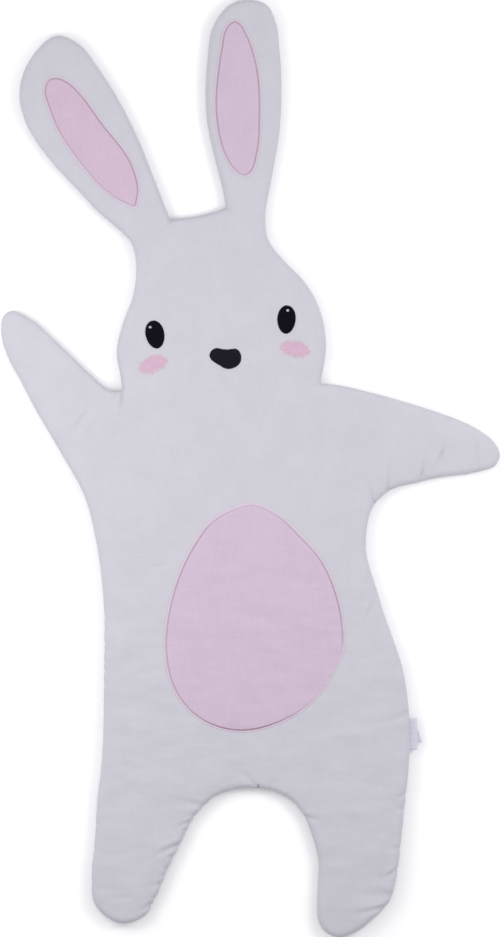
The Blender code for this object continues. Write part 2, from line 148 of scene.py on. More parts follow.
class Line:
    # a closed line that answers how deep a point lies inside it, and where along it

    def __init__(self, loop):
        self.loop = loop
        self.normals = normalsOf(loop)
        steps = np.linalg.norm(np.roll(loop, -1, axis=0) - loop, axis=1)
        self.length = steps.sum()
        self.travelled = np.concatenate(([0], np.cumsum(steps)[:-1]))
        self.tree = kdtree.KDTree(len(loop))
        for index, (x, y) in enumerate(loop):
            self.tree.insert((x, y, 0), index)
        self.tree.balance()

    def nearest(self, points):
        found = np.array([self.tree.find((x, y, 0))[1] for x, y in points])
        best = np.full(len(points), np.inf)
        for start in (found - 1, found):
            a, b = self.loop[start], self.loop[(start + 1) % len(self.loop)]
            part = np.clip(((points - a) * (b - a)).sum(1) / ((b - a) ** 2).sum(1), 0, 1)
            best = np.minimum(best, np.linalg.norm(points - a - (b - a) * part[:, None], axis=1))
        side = ((points - self.loop[found]) * self.normals[found]).sum(axis=1)
        return found, np.where(side < 0, best, -best)

    def depth(self, points):
        return self.nearest(points)[1]

    def moved(self, distance):
        return self.loop + self.normals * distance

    def apart(self, travel):
        # how far each point of the line is from a place on it, measured along it
        gap = np.abs(self.travelled - travel)
        return np.minimum(gap, self.length - gap)


# Folds that the seam throws into the top, as they lie in the picture: where each
# starts, its heading in degrees, its length, half width and depth, its bend
# sideways by its end, and how far it nicks the seam where it starts. A puff beside
# a fold has a depth below zero.
folds = [
    {"name": "right ear root", "at": (-30, 333), "heading": 350, "length": 20, "half": 1.5, "depth": 1.6, "bend": 0, "nick": 0},
    {"name": "right ear root 2", "at": (-30.5, 332), "heading": 305, "length": 14, "half": 1.7, "depth": 1.1, "bend": 0, "nick": 0},
    {"name": "left ear root", "at": (-102, 317), "heading": 236, "length": 20, "half": 2.1, "depth": 1.7, "bend": 0, "nick": 0},
    {"name": "neck right", "at": (90.9, 109), "heading": 205, "length": 24, "half": 3.4, "depth": 1.1, "bend": 2, "nick": 0},
    {"name": "neck left", "at": (-164.2, 98), "heading": 267, "length": 46, "half": 2.0, "depth": 2.3, "bend": 1, "nick": 0},
    {"name": "neck left 2", "at": (-172.5, 95), "heading": 245, "length": 13, "half": 1.8, "depth": 1.8, "bend": 0, "nick": 0},
    {"name": "shoulder drag", "at": (-212, 68), "heading": 238, "length": 46, "half": 4.6, "depth": 1.7, "bend": 2, "nick": 0},
    {"name": "shoulder puff", "at": (-203, 63), "heading": 237, "length": 44, "half": 4.4, "depth": -0.7, "bend": 2, "nick": 0},
    {"name": "crown of the head", "at": (-112, 303), "heading": 1, "length": 90, "half": 6.0, "depth": 0.4, "bend": 3, "nick": 0},
    {"name": "right armpit", "at": (157.5, -42), "heading": 105, "length": 34, "half": 1.1, "depth": 2.0, "bend": 0, "nick": 0.2},
    {"name": "right arm under 1", "at": (175.5, -25), "heading": 85, "length": 52, "half": 2.2, "depth": 2.0, "bend": 1, "nick": 0.4},
    {"name": "right arm under 2", "at": (219, -8), "heading": 79, "length": 34, "half": 2.0, "depth": 2.1, "bend": 0, "nick": 0.4},
    {"name": "right arm under 3", "at": (246, 23), "heading": 247, "length": 34, "half": 2.0, "depth": 2.1, "bend": 1, "nick": 0},
    {"name": "right arm top", "at": (251, 65), "heading": 322, "length": 13, "half": 2.0, "depth": 2.0, "bend": 0, "nick": 0.3},
    {"name": "right arm tip", "at": (288.5, 30), "heading": 270, "length": 46, "half": 2.8, "depth": 1.5, "bend": 0, "nick": 0},
    {"name": "right side low", "at": (203, -311), "heading": 206, "length": 28, "half": 3.4, "depth": 1.0, "bend": 2, "nick": 0.2},
    {"name": "right hip 1", "at": (198, -416), "heading": 214, "length": 16, "half": 2.6, "depth": 1.6, "bend": 1, "nick": 1.2},
    {"name": "right hip 2", "at": (195, -435), "heading": 180, "length": 15, "half": 3.1, "depth": 0.7, "bend": -1, "nick": 1},
    {"name": "right leg nick", "at": (192.5, -486), "heading": 184, "length": 17, "half": 3.1, "depth": 0.6, "bend": -1, "nick": 1.2},
    {"name": "right leg fold", "at": (188, -512), "heading": 223, "length": 25, "half": 2.6, "depth": 3.2, "bend": -3, "nick": 1.6},
    {"name": "right leg curl", "at": (167.5, -526), "heading": 95, "length": 14, "half": 3.0, "depth": 1.2, "bend": 1, "nick": 0},
    {"name": "right leg trough", "at": (181, -545), "heading": 182, "length": 64, "half": 6.6, "depth": 1.9, "bend": -2, "nick": 0.7},
    {"name": "right foot", "at": (173, -561), "heading": 192, "length": 56, "half": 3.2, "depth": 2.2, "bend": 2, "nick": 0.7},
    {"name": "crotch right", "at": (69, -446), "heading": 346, "length": 28, "half": 3.6, "depth": 1.6, "bend": 2, "nick": 0.4},
    {"name": "crotch tuck", "at": (10.4, -409.5), "heading": 92, "length": 7, "half": 1.3, "depth": 6.5, "bend": 0, "nick": 0.8},
    {"name": "crotch drag", "at": (4, -404), "heading": 132, "length": 36, "half": 4.2, "depth": 1.3, "bend": 2, "nick": 0},
    {"name": "crotch right 2", "at": (23, -411), "heading": 66, "length": 14, "half": 2.4, "depth": 0.7, "bend": 0, "nick": 0.4},
    {"name": "crotch right 3", "at": (43, -420), "heading": 40, "length": 16, "half": 2.4, "depth": 0.7, "bend": 0, "nick": 0.4},
    {"name": "crotch left 2", "at": (-36, -418), "heading": 118, "length": 16, "half": 2.6, "depth": 0.6, "bend": 0, "nick": 0.3},
    {"name": "crotch left", "at": (-66, -430), "heading": 172, "length": 34, "half": 4.8, "depth": 1.4, "bend": 0, "nick": 0.3},
    {"name": "left leg 1", "at": (-76, -451), "heading": 200, "length": 26, "half": 2.4, "depth": 1.6, "bend": 3, "nick": 0.9},
    {"name": "left leg 2", "at": (-94, -482.5), "heading": 203, "length": 48, "half": 3.3, "depth": 1.8, "bend": 2, "nick": 1.6},
    {"name": "left leg 2 puff", "at": (-97, -475.5), "heading": 203, "length": 38, "half": 4.0, "depth": -0.8, "bend": 0, "nick": 0},
    {"name": "left leg 3", "at": (-99, -497), "heading": 190, "length": 12, "half": 2.6, "depth": 0.8, "bend": 0, "nick": 1.6},
    {"name": "left leg 4", "at": (-105, -512.5), "heading": 190, "length": 10, "half": 2.4, "depth": 0.6, "bend": 0, "nick": 1.4},
    {"name": "left leg 5", "at": (-109, -521), "heading": 190, "length": 12, "half": 2.4, "depth": 0.6, "bend": 0, "nick": 1.2},
    {"name": "left leg 6", "at": (-114, -532), "heading": 188, "length": 26, "half": 3.4, "depth": 0.9, "bend": 2, "nick": 1.4},
    {"name": "left leg 7", "at": (-122, -550), "heading": 195, "length": 14, "half": 2.6, "depth": 0.7, "bend": 0, "nick": 1.2},
    {"name": "left foot", "at": (-126, -558), "heading": 205, "length": 32, "half": 3.6, "depth": 1.8, "bend": 3, "nick": 1.8},
    {"name": "left foot dimple", "at": (-155, -547), "heading": 195, "length": 26, "half": 4.5, "depth": 0.6, "bend": 0, "nick": 0},
    {"name": "left side 1", "at": (-124, -230), "heading": 184, "length": 44, "half": 6.0, "depth": 0.5, "bend": 0, "nick": 0},
    {"name": "left side 2", "at": (-122, -257), "heading": 189, "length": 44, "half": 5.5, "depth": 0.5, "bend": 2, "nick": 0},
    {"name": "left chest 1", "at": (-112, -124), "heading": 205, "length": 24, "half": 3.5, "depth": 0.6, "bend": 0, "nick": 0},
    {"name": "left chest 2", "at": (-139, -115), "heading": 181, "length": 28, "half": 1.8, "depth": 0.25, "bend": 0, "nick": 0},
    {"name": "right chest", "at": (153, -131), "heading": 258, "length": 24, "half": 1.8, "depth": 1.8, "bend": 0, "nick": 0},
    {"name": "right side 1", "at": (155, -176), "heading": 250, "length": 36, "half": 3.4, "depth": 1.3, "bend": 0, "nick": 0},
    {"name": "right side 2", "at": (196, -318), "heading": 191, "length": 100, "half": 5.5, "depth": 0.7, "bend": 0, "nick": 0},
]

# Stretches where the seam's stitches pinch the edge into small scallops, from one
# place on the seam to another, the distance between nicks and how deep they are.
scallops = [
    {"name": "inner left leg", "from": (-66, -436), "to": (-92, -482), "pitch": 10.0, "depth": 1.2},
    {"name": "right side low", "from": (200, -400), "to": (180, -550), "pitch": 15.0, "depth": 0.6},
    {"name": "left side", "from": (-187, -180), "to": (-190, -330), "pitch": 13.0, "depth": 0.8},
    {"name": "right arm under", "from": (300, -3), "to": (180, -29), "pitch": 17.0, "depth": 0.6},
    {"name": "crotch arch", "from": (-60, -430), "to": (66, -444), "pitch": 7.5, "depth": 0.7},
    {"name": "left leg outside", "from": (-196, -425), "to": (-202, -545), "pitch": 16.0, "depth": 0.7},
]

seamLook = {
    "step": 1.8,
    "jitter": 0.28,      # unevenness of the nicks, as a share of their distance
    "nickHalf": 3.2,     # how far along the seam one nick pulls
    "nickSink": 0.7,     # how deep its little gather is in the top, for each mm of nick
    "nickReach": 6.0,
    "crease": 0.9,       # how far the sewn seam lies in behind the two panels' edges
}


def pinchedSeam():
    # the body's outline, drawn in where folds and scallops start, and how much
    plain = Line(evenLoop(outlineOf("body"), seamLook["step"]))
    rng = random.Random(5)
    nicks = []
    for fold in folds:
        place = plain.nearest(np.array([fold["at"]]))[0][0]
        nicks.append((plain.travelled[place], fold["nick"]))
    for stretch in scallops:
        ends = plain.nearest(np.array([stretch["from"], stretch["to"]]))[0]
        start, end = plain.travelled[ends]
        span = (end - start + plain.length / 2) % plain.length - plain.length / 2
        count = round(abs(span) / stretch["pitch"])
        for index in range(1, count):
            place = index + rng.uniform(-1, 1) * seamLook["jitter"]
            depth = stretch["depth"] * rng.uniform(0.6, 1.4)
            nicks.append(((start + span * place / count) % plain.length, depth))
    pull = np.zeros(len(plain.loop))
    for travel, depth in nicks:
        pull = np.maximum(pull, depth * np.exp(-plain.apart(travel) / seamLook["nickHalf"]))
    return Line(plain.loop - plain.normals * pull[:, None]), pull


seam, seamPull = pinchedSeam()
print("seam", round(seam.length), "mm long, in", len(seam.loop), "steps")


# Lines along which the appliques are sewn. The fold of cloth beside the stitches shades
# them more on some sides of a patch than on others, and this shade is painted into the thread's colour: the table gives
# how dark they are drawn, from 0 to 1, by the way that side faces, in degrees.
appliques = {
    "tummyPatch": {
        "cloth": "tummy_patch", "stitching": "tummy_stitching",
        "darkness": [
            (0, 0.44), (15, 0.58), (30, 0.48), (45, 0.34), (60, 0.13), (75, 0.18), (105, 0.07), (120, 0.18), (135, 0.36),
            (150, 0.52), (165, 0.44), (180, 0.4), (195, 0.44), (225, 0.52), (240, 0.72), (252, 0.95), (285, 1.0),
            (296, 0.6), (306, 0.3), (318, 0.1), (335, 0.0), (350, 0.1),
        ],
    },
    "leftEarPatch": {
        "cloth": "inner_ear_left", "stitching": "ear_stitching_left",
        "darkness": [(0, 0.6), (45, 0.58), (90, 0.7), (135, 0.28), (180, 0.58), (225, 0.28), (270, 0.34), (315, 0.54)],
    },
    "rightEarPatch": {
        "cloth": "inner_ear_right", "stitching": "ear_stitching_right",
        "darkness": [(0, 0.58), (45, 0.48), (90, 0.7), (135, 0.46), (180, 0.62), (225, 0.32), (270, 0.36), (315, 0.52)],
    },
}
patchLook = {
    "step": 2.0,
    "margin": 1.3,       # half the width of the CAD stitching
    "hem": 3.3,          # cloth past the line of stitches
    # paleTo: how far in from the edge the painted highlight along the hem reaches
    "paleTo": 7.0,       # how far in from the edge the cloth is paler
    "cloth": 0.6,        # thickness of the folded-under edge and the cloth
    "edge": 0.25,
    "roll": 1.5,
    "clear": 0.08,
    "pitch": 2.8,
}
for applique in appliques.values():
    edge = Line(evenLoop(outlineOf(applique["cloth"]), patchLook["step"]))
    line = Line(evenLoop(edge.moved(-patchLook["margin"]), patchLook["step"]))
    applique["line"] = line
    applique["rim"] = Line(evenLoop(line.moved(patchLook["hem"]), patchLook["step"]))


# Height of the filled body

body = {
    "thickness": 20.0,
    "seamHeight": 9.0,
    "edgeReach": 7.0,        # the rim is round and steep this far in from the seam
    "fullness": 0.4,         # the lower, the steeper, as firm filling makes it
    "crownReach": 24.0,      # and from there the top still rises a little to this far in
    "crownShare": 0.16,
    "keelReach": 20.0,       # how far in the underside still falls to the floor
    "channelDepth": 0.22,    # soft dip along the applique's edge
    "channelHalf": 3.2,
    "stitchDepth": 0.35,     # narrow groove that the thread itself pulls in
    "stitchHalf": 1.1,
    "waddingDepth": 0.45,    # slow unevenness of the filling
    "waddingSize": 85.0,
    "slackDepth": 0.8,       # shallow slack in the cloth, more of it on the lower body
    "slackSizes": [(70.0, 32.0, 1.3), (36.0, 14.0, 0.8), (16.0, 7.5, 0.35)],     # length, width and share
    "slackFrom": 20.0,       # none above this height of the picture
    "slackFull": -260.0,
    "grip": 2.2,             # how far from the seam folds reach their full depth
    "topPitch": 2.9,
    "foldPitch": 1.3,
    "underPitch": 9.0,
}


def arch(depth, reach):
    # the shape of a rim from 0 at the seam to 1 at the reach
    return 1 - (1 - np.clip(depth / reach, 0, 1)) ** 2


def crown(depth):
    share = body["crownShare"]
    rim = arch(depth, body["edgeReach"]) ** body["fullness"]
    return (1 - share) * rim + share * arch(depth, body["crownReach"])


def softDepth(points, depth):
    # depth below the seam that has no ridge down the middle of a limb: all the seam
    # counts by the fourth power of its nearness, and close to the seam the true depth
    far = seam.loop[::3]
    step = seam.length / len(far)
    total = np.empty(len(points))
    for start in range(0, len(points), 2000):
        part = points[start:start + 2000]
        gap = ((part[:, None, :] - far[None, :, :]) ** 2).sum(axis=2)
        total[start:start + 2000] = (step / np.maximum(gap, 1) ** 2).sum(axis=1)
    soft = (math.pi / 2 / total) ** (1 / 3)
    near = smoothStep((depth - 4) / 8)
    return depth * (1 - near) + soft * near


def foldSink(points):
    sink = np.zeros(len(points))
    for fold in folds:
        along, across = heading(fold["heading"])
        gap = points - np.array(fold["at"])
        travel = gap @ along / fold["length"]
        run = np.clip(travel, 0, 1)
        aside = (gap @ across - fold["bend"] * run ** 2) / (fold["half"] * (0.7 + 0.6 * run))
        fade = np.cos(run * math.pi / 2) ** 2 * smoothStep(1 + travel * 3)
        trough = np.exp(-aside ** 2) - 0.25 * np.exp(-((np.abs(aside) - 2.1) ** 2))
        sink += fold["depth"] * fade * trough
    return sink


def nickSink(found, depth):
    # the little gather that runs in from each nick of the seam
    return seamLook["nickSink"] * seamPull[found] * np.exp(-depth / seamLook["nickReach"])


def slackSink(points):
    waves = np.zeros(len(points))
    for length, width, share in body["slackSizes"]:
        waves += share * noiseAt(points * (width / length, 1), width, length)
    lower = smoothStep((points[:, 1] - body["slackFrom"]) / (body["slackFull"] - body["slackFrom"]))
    return body["slackDepth"] * lower * waves


def channelSink(points):
    sink = np.zeros(len(points))
    for applique in appliques.values():
        away = np.abs(applique["line"].depth(points))
        soft = body["channelDepth"] * np.exp(-(away / body["channelHalf"]) ** 2)
        sink = np.maximum(sink, soft + body["stitchDepth"] * np.exp(-(away / body["stitchHalf"]) ** 2))
    return sink


def topHeight(points):
    found, depth = seam.nearest(points)
    wadding = body["waddingDepth"] * (1 + noiseAt(points, body["waddingSize"], 1.3))
    full = body["thickness"] - body["seamHeight"] - wadding - channelSink(points) - slackSink(points)
    rise = crown(softDepth(points, depth)) * full
    sunk = (foldSink(points) + nickSink(found, depth)) * smoothStep(depth / body["grip"])
    return body["seamHeight"] + rise - np.minimum(sunk, 0.6 * rise)


def underHeight(depth):
    return body["seamHeight"] * (1 - arch(depth, body["keelReach"]) ** body["fullness"])


# Sheets of triangles

def lattice(line, pitch, margin):
    low, high = line.loop.min(axis=0), line.loop.max(axis=0)
    rows = np.arange(low[1], high[1], pitch * math.sqrt(3) / 2)
    points = []
    for index, y in enumerate(rows):
        across = np.arange(low[0] + (index % 2) * pitch / 2, high[0], pitch)
        points.append(np.column_stack((across, np.full(len(across), y))))
    points = np.concatenate(points)
    return points[line.depth(points) > margin]


def rowsInside(line, depths):
    rows = []
    for depth in depths:
        row = line.moved(-depth)
        rows.append(row[line.depth(row) > 0.93 * depth])
    return rows


def foldField():
    # close-set points over each fold, so that its shape is drawn sharply
    points = []
    for fold in folds:
        along, across = heading(fold["heading"])
        travel = np.arange(0, fold["length"], body["foldPitch"])
        aside = np.arange(-3 * fold["half"], 3 * fold["half"], body["foldPitch"] * max(1, fold["half"] / 4))
        run, side = (part.ravel() for part in np.meshgrid(travel, aside))
        bent = side + fold["bend"] * (run / fold["length"]) ** 2
        points.append(np.array(fold["at"]) + run[:, None] * along + bent[:, None] * across)
    points = np.concatenate(points)
    return points[seam.depth(points) > 3]


def apartFrom(points, others, distance):
    # the points that keep that distance from all the others
    tree = kdtree.KDTree(len(others))
    for index, (x, y) in enumerate(others):
        tree.insert((x, y, 0), index)
    tree.balance()
    return points[[tree.find((x, y, 0))[2] > distance for x, y in points]]


def triangulate(loop, loose):
    points = [Vector(point) for point in loop] + [Vector(point) for point in loose]
    edges = [(i, (i + 1) % len(loop)) for i in range(len(loop))]
    found = delaunay_2d_cdt(points, edges, [], 1, 1e-5)
    corners = np.array([tuple(point) for point in found[0]])
    return corners, np.array(found[2])


def newObject(name, mesh, material):
    mesh.materials.clear()
    mesh.materials.append(material)
    mesh.shade_smooth()
    piece = bpy.data.objects.new(name, mesh)
    bpy.context.scene.collection.objects.link(piece)
    return piece


def meshFrom(name, points, faces):
    # points in millimetres, faces wound so that they look outwards
    mesh = bpy.data.meshes.new(name)
    mesh.from_pydata((np.asarray(points) * mm).tolist(), [], [list(map(int, f)) for f in faces])
    mesh.update()
    return mesh


def sheetUp(corners, faces):
    # the faces of a flat sheet, all turned to look up
    a, b, c = (corners[faces[:, i]] for i in range(3))
    area = (b - a)[:, 0] * (c - a)[:, 1] - (b - a)[:, 1] * (c - a)[:, 0]
    return np.where((area < 0)[:, None], faces[:, ::-1], faces)


# Materials

def newMaterial(name):
    material = bpy.data.materials.new(name)
    material.use_nodes = True
    tree = material.node_tree
    shader = tree.nodes["Principled BSDF"]
    return material, tree, shader


clothLook = {
    "drawnPitch": 2.2,      # the real threads lie 0.5 mm apart, too fine to show, so they are drawn coarser
    "slubLength": 30.0,
    "slubWidth": 1.8,
    "mottleSize": 30.0,
    "relief": 0.3,
}


def wovenCotton(name, base, light, dark, slubShare, hem=None):
    # plain woven cotton, brushed soft: matt, with faint slubs along both threads and
    # a cloudy tone that varies at random, partly painted shade and light standing in for the cloth lying over uneven
    # filling. Along the hem of a patch, as far as its "hem" attribute says, the cloth is drawn paler: a painted
    # highlight beside the stitches
    material, tree, shader = newMaterial(name)
    place = addNode(tree, "ShaderNodeTexCoord").outputs["Object"]
    tones = []
    for along, across in ((0, 1), (1, 0)):
        size = [0.0, 0.0, 1.0]
        size[along] = 1 / (clothLook["slubLength"] * mm)
        size[across] = 1 / (clothLook["slubWidth"] * mm)
        stretched = addNode(tree, "ShaderNodeMapping", {"Vector": place, "Scale": size})
        slub = addNode(tree, "ShaderNodeTexNoise", {
            "Vector": stretched.outputs[0], "Scale": 1.0, "Detail": 3.0, "Roughness": 0.6,
        })
        tones.append(slub.outputs[0])
    slubs = addNode(tree, "ShaderNodeMath", {0: tones[0], 1: tones[1]}, operation="ADD")
    weave = addNode(tree, "ShaderNodeTexNoise", {
        "Vector": place, "Scale": 1 / (clothLook["drawnPitch"] * mm), "Detail": 4.0, "Roughness": 0.7,
    })
    # the cloudy tone: random, and partly painted shade and light for the cloth lying over uneven filling
    mottle = addNode(tree, "ShaderNodeTexNoise", {
        "Vector": place, "Scale": 1 / (clothLook["mottleSize"] * mm), "Detail": 3.0, "Roughness": 0.55,
    })
    slubTone = addNode(tree, "ShaderNodeMapRange", {
        "Value": slubs.outputs[0], "From Min": 0.75, "From Max": 1.25, "To Min": -0.5, "To Max": 0.5,
    })
    mottleTone = addNode(tree, "ShaderNodeMapRange", {
        "Value": mottle.outputs[0], "From Min": 0.3, "From Max": 0.7, "To Min": 0.2, "To Max": 0.8,
    })
    tone = addNode(tree, "ShaderNodeMath", {
        0: slubTone.outputs[0], 1: slubShare, 2: mottleTone.outputs[0],
    }, operation="MULTIPLY_ADD")
    ramp = addNode(tree, "ShaderNodeValToRGB", {"Fac": tone.outputs[0]})
    ramp.color_ramp.elements[0].color = toLinear(dark)
    ramp.color_ramp.elements[1].color = toLinear(light)
    middle = ramp.color_ramp.elements.new(0.5)
    middle.color = toLinear(base)
    relief = addNode(tree, "ShaderNodeMath", {
        0: slubs.outputs[0], 1: weave.outputs[0],
    }, operation="ADD")
    raised = addNode(tree, "ShaderNodeBump", {
        "Height": relief.outputs[0], "Strength": clothLook["relief"], "Distance": 0.25 * mm,
    })
    colour = ramp.outputs["Color"]
    # the hem's paler colour is a painted highlight along the line of stitches
    if hem:
        share = addNode(tree, "ShaderNodeAttribute", attribute_name="hem")
        paintedHemHighlight = addNode(tree, "ShaderNodeMix", {
            "Factor": share.outputs["Fac"], "A": colour, "B": toLinear(hem),
        }, data_type="RGBA")
        colour = paintedHemHighlight.outputs["Result"]
    tree.links.new(colour, shader.inputs["Base Color"])
    tree.links.new(raised.outputs[0], shader.inputs["Normal"])
    shader.inputs["Roughness"].default_value = 0.9
    shader.inputs["Specular IOR Level"].default_value = 0.2
    shader.inputs["Sheen Weight"].default_value = 0.08
    shader.inputs["Sheen Roughness"].default_value = 0.5
    return material


def thread(name, base, light, gloss, grain=1.4, paleColour=None):
    # spun or filament thread: small changes of tone along it, and as much gloss as its
    # kind has. A pale colour is what it looks like where its "darkness" attribute is 0: on the edge stitches the
    # darkness is painted shade, and on the blush it makes the loose stitches at its edge paler
    material, tree, shader = newMaterial(name)
    place = addNode(tree, "ShaderNodeTexCoord").outputs["Object"]
    strands = addNode(tree, "ShaderNodeTexNoise", {
        "Vector": place, "Scale": 1 / (grain * mm), "Detail": 3.0, "Roughness": 0.6,
    })
    ramp = addNode(tree, "ShaderNodeValToRGB", {"Fac": strands.outputs[0]})
    ramp.color_ramp.elements[0].position = 0.3
    ramp.color_ramp.elements[1].position = 0.7
    ramp.color_ramp.elements[0].color = toLinear(base)
    ramp.color_ramp.elements[1].color = toLinear(light)
    raised = addNode(tree, "ShaderNodeBump", {
        "Height": strands.outputs[0], "Strength": 0.3, "Distance": 0.15 * mm,
    })
    colour = ramp.outputs["Color"]
    if paleColour:
        darkness = addNode(tree, "ShaderNodeAttribute", attribute_name="darkness")
        mixed = addNode(tree, "ShaderNodeMix", {
            "Factor": darkness.outputs["Fac"], "A": toLinear(paleColour), "B": colour,
        }, data_type="RGBA")
        colour = mixed.outputs["Result"]
    tree.links.new(colour, shader.inputs["Base Color"])
    tree.links.new(raised.outputs[0], shader.inputs["Normal"])
    shader.inputs["Roughness"].default_value = gloss["roughness"]
    shader.inputs["Specular IOR Level"].default_value = gloss["specular"]
    return material


def wovenTape(name, light, dark):
    # smooth woven satin tape: fine ribs across it and a soft gloss
    material, tree, shader = newMaterial(name)
    place = addNode(tree, "ShaderNodeTexCoord").outputs["Object"]
    ribs = addNode(tree, "ShaderNodeTexWave", {
        "Vector": place, "Scale": 1 / (1.2 * mm) / 20, "Distortion": 0.4, "Detail": 2.0,
    }, bands_direction="Y")
    ramp = addNode(tree, "ShaderNodeValToRGB", {"Fac": ribs.outputs[0]})
    ramp.color_ramp.elements[0].color = toLinear(dark)
    ramp.color_ramp.elements[1].color = toLinear(light)
    raised = addNode(tree, "ShaderNodeBump", {
        "Height": ribs.outputs[0], "Strength": 0.25, "Distance": 0.1 * mm,
    })
    tree.links.new(ramp.outputs["Color"], shader.inputs["Base Color"])
    tree.links.new(raised.outputs[0], shader.inputs["Normal"])
    shader.inputs["Roughness"].default_value = 0.5
    shader.inputs["Specular IOR Level"].default_value = 0.35
    return material


matt = {"roughness": 0.85, "specular": 0.06}
soft = {"roughness": 0.65, "specular": 0.2}
offWhiteCotton = wovenCotton("off white woven cotton", "#bfbdc5", "#c2c0c8", "#bcbac2", 0.65)
pinkCotton = wovenCotton("pale pink woven cotton", "#c3b0c2", "#c6b3c5", "#c0adbf", 1.0, hem="#cbbdcb")
rosePinkCotton = wovenCotton("rose pink woven cotton", "#c2adbd", "#c5b0c0", "#bfaaba", 1.0, hem="#cbbdcb")
mauveThread = thread("mauve sewing thread", "#8f7386", "#9f8496", soft, paleColour="#c5b4c5")
blackThread = thread("black embroidery thread", "#0b0a13", "#15141f", matt)
# the mouth's thread is the black thread drawn lighter: painted sheen, for the gloss its stitches show
sheenPaintedBlackThread = thread("black embroidery thread with painted sheen", "#181722", "#23222d", matt)
paleThread = thread("pale grey embroidery thread", "#a9a9b4", "#c4c4cc", soft)
blushThread = thread("blush embroidery thread", "#ccaabf", "#d5b6c8", soft, grain=2.4, paleColour="#d2c8d2")
labelTape = wovenTape("woven label tape", "#cccbd8", "#c8c7d4")

print("materials ready")


# Body

def makeBody():
    lineRows = []
    for applique in appliques.values():
        line = applique["line"]
        lineRows += [line.moved(d) for d in (-5.4, -3.9, -2.8, -1.9, -1.2, -0.5, 0.2, 0.9, 1.6, 2.4, 3.6, 5.2)]
    loose = rowsInside(seam, (0.3, 0.8, 1.5, 2.5))
    loose += [row[::2] for row in rowsInside(seam, (4.0, 6.0, 8.3, 10.8))]
    close = apartFrom(foldField(), np.concatenate(loose), 0.8)
    field = lattice(seam, body["topPitch"], 12.4)
    for applique in appliques.values():
        field = field[np.abs(applique["line"].depth(field)) > 6.6]
    field = apartFrom(field, close, 1.2)
    corners, faces = triangulate(seam.loop, np.concatenate([*loose, *lineRows, close, field]))
    found, depth = seam.nearest(corners)
    onSeam = depth < 0.02
    heights = topHeight(corners)
    heights[onSeam] = body["seamHeight"]
    places = corners.copy()
    places[onSeam] -= seam.normals[found[onSeam]] * seamLook["crease"]
    top = np.column_stack((places, heights))
    topFaces = sheetUp(corners, faces)

    loose = [row[::2] for row in rowsInside(seam, (0.8, 2.2, 4.5, 7.5, 12.0, 17.0))]
    field = lattice(seam, body["underPitch"], 22.0)
    corners, faces = triangulate(seam.loop, np.concatenate([seam.moved(-0.3), *loose, field]))
    found, depth = seam.nearest(corners)
    onSeam = depth < 0.02
    heights = underHeight(depth)
    heights[onSeam] = body["seamHeight"]
    places = corners.copy()
    places[onSeam] -= seam.normals[found[onSeam]] * seamLook["crease"]
    under = np.column_stack((places, heights))
    underFaces = sheetUp(corners, faces)[:, ::-1] + len(top)

    mesh = meshFrom("matBody", np.concatenate([top, under]), np.concatenate([topFaces, underFaces]))
    shape = bmesh.new()
    shape.from_mesh(mesh)
    bmesh.ops.remove_doubles(shape, verts=shape.verts, dist=0.03 * mm)
    loosened = sum(1 for edge in shape.edges if not edge.is_manifold)
    shape.to_mesh(mesh)
    shape.free()
    print("body", len(mesh.polygons), "triangles, open edges", loosened)
    piece = newObject("matBody", mesh, offWhiteCotton)
    mesh.set_sharp_from_angle(angle=math.radians(80))
    return piece


matBody = makeBody()
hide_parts("body")
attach(matBody, "root")


# Appliques: a patch of cloth with its edge pressed down by the stitches

def makePatch(name, rim, cloth):
    rows = rowsInside(rim, (0.6, 1.3, 2.1, 3.0, 4.1, 5.6))
    field = lattice(rim, patchLook["pitch"], 6.8)
    corners, faces = triangulate(rim.loop, np.concatenate([*rows, field]))
    faces = sheetUp(corners, faces)
    ground = topHeight(corners) + patchLook["clear"]
    roll = smoothStep(rim.depth(corners) / patchLook["roll"])
    lift = patchLook["edge"] + (patchLook["cloth"] - patchLook["edge"]) * roll
    onRim = [i for i in range(len(corners)) if rim.depth(corners[i:i + 1])[0] < 0.02]
    order = sorted(onRim, key=lambda i: rim.nearest(corners[i:i + 1])[0][0])
    count = len(corners)
    points = np.concatenate([
        np.column_stack((corners, ground + lift)), np.column_stack((corners, ground)),
    ])
    walls = []
    for here, ahead in zip(order, order[1:] + order[:1]):
        walls += [(here, here + count, ahead + count), (here, ahead + count, ahead)]
    below = faces[:, ::-1] + count
    mesh = meshFrom(name, points, np.concatenate([faces, below, walls]))
    # how strongly the painted highlight along the hem shows, fading inwards from the edge
    hem = mesh.attributes.new("hem", "FLOAT", "POINT")
    hem.data.foreach_set("value", np.tile(1 - smoothStep(rim.depth(corners) / patchLook["paleTo"]), 2))
    return newObject(name, mesh, cloth)


# Geometry Nodes: a thread along every edge of a mesh, arched between its ends, and
# as thick as its "width" attribute says

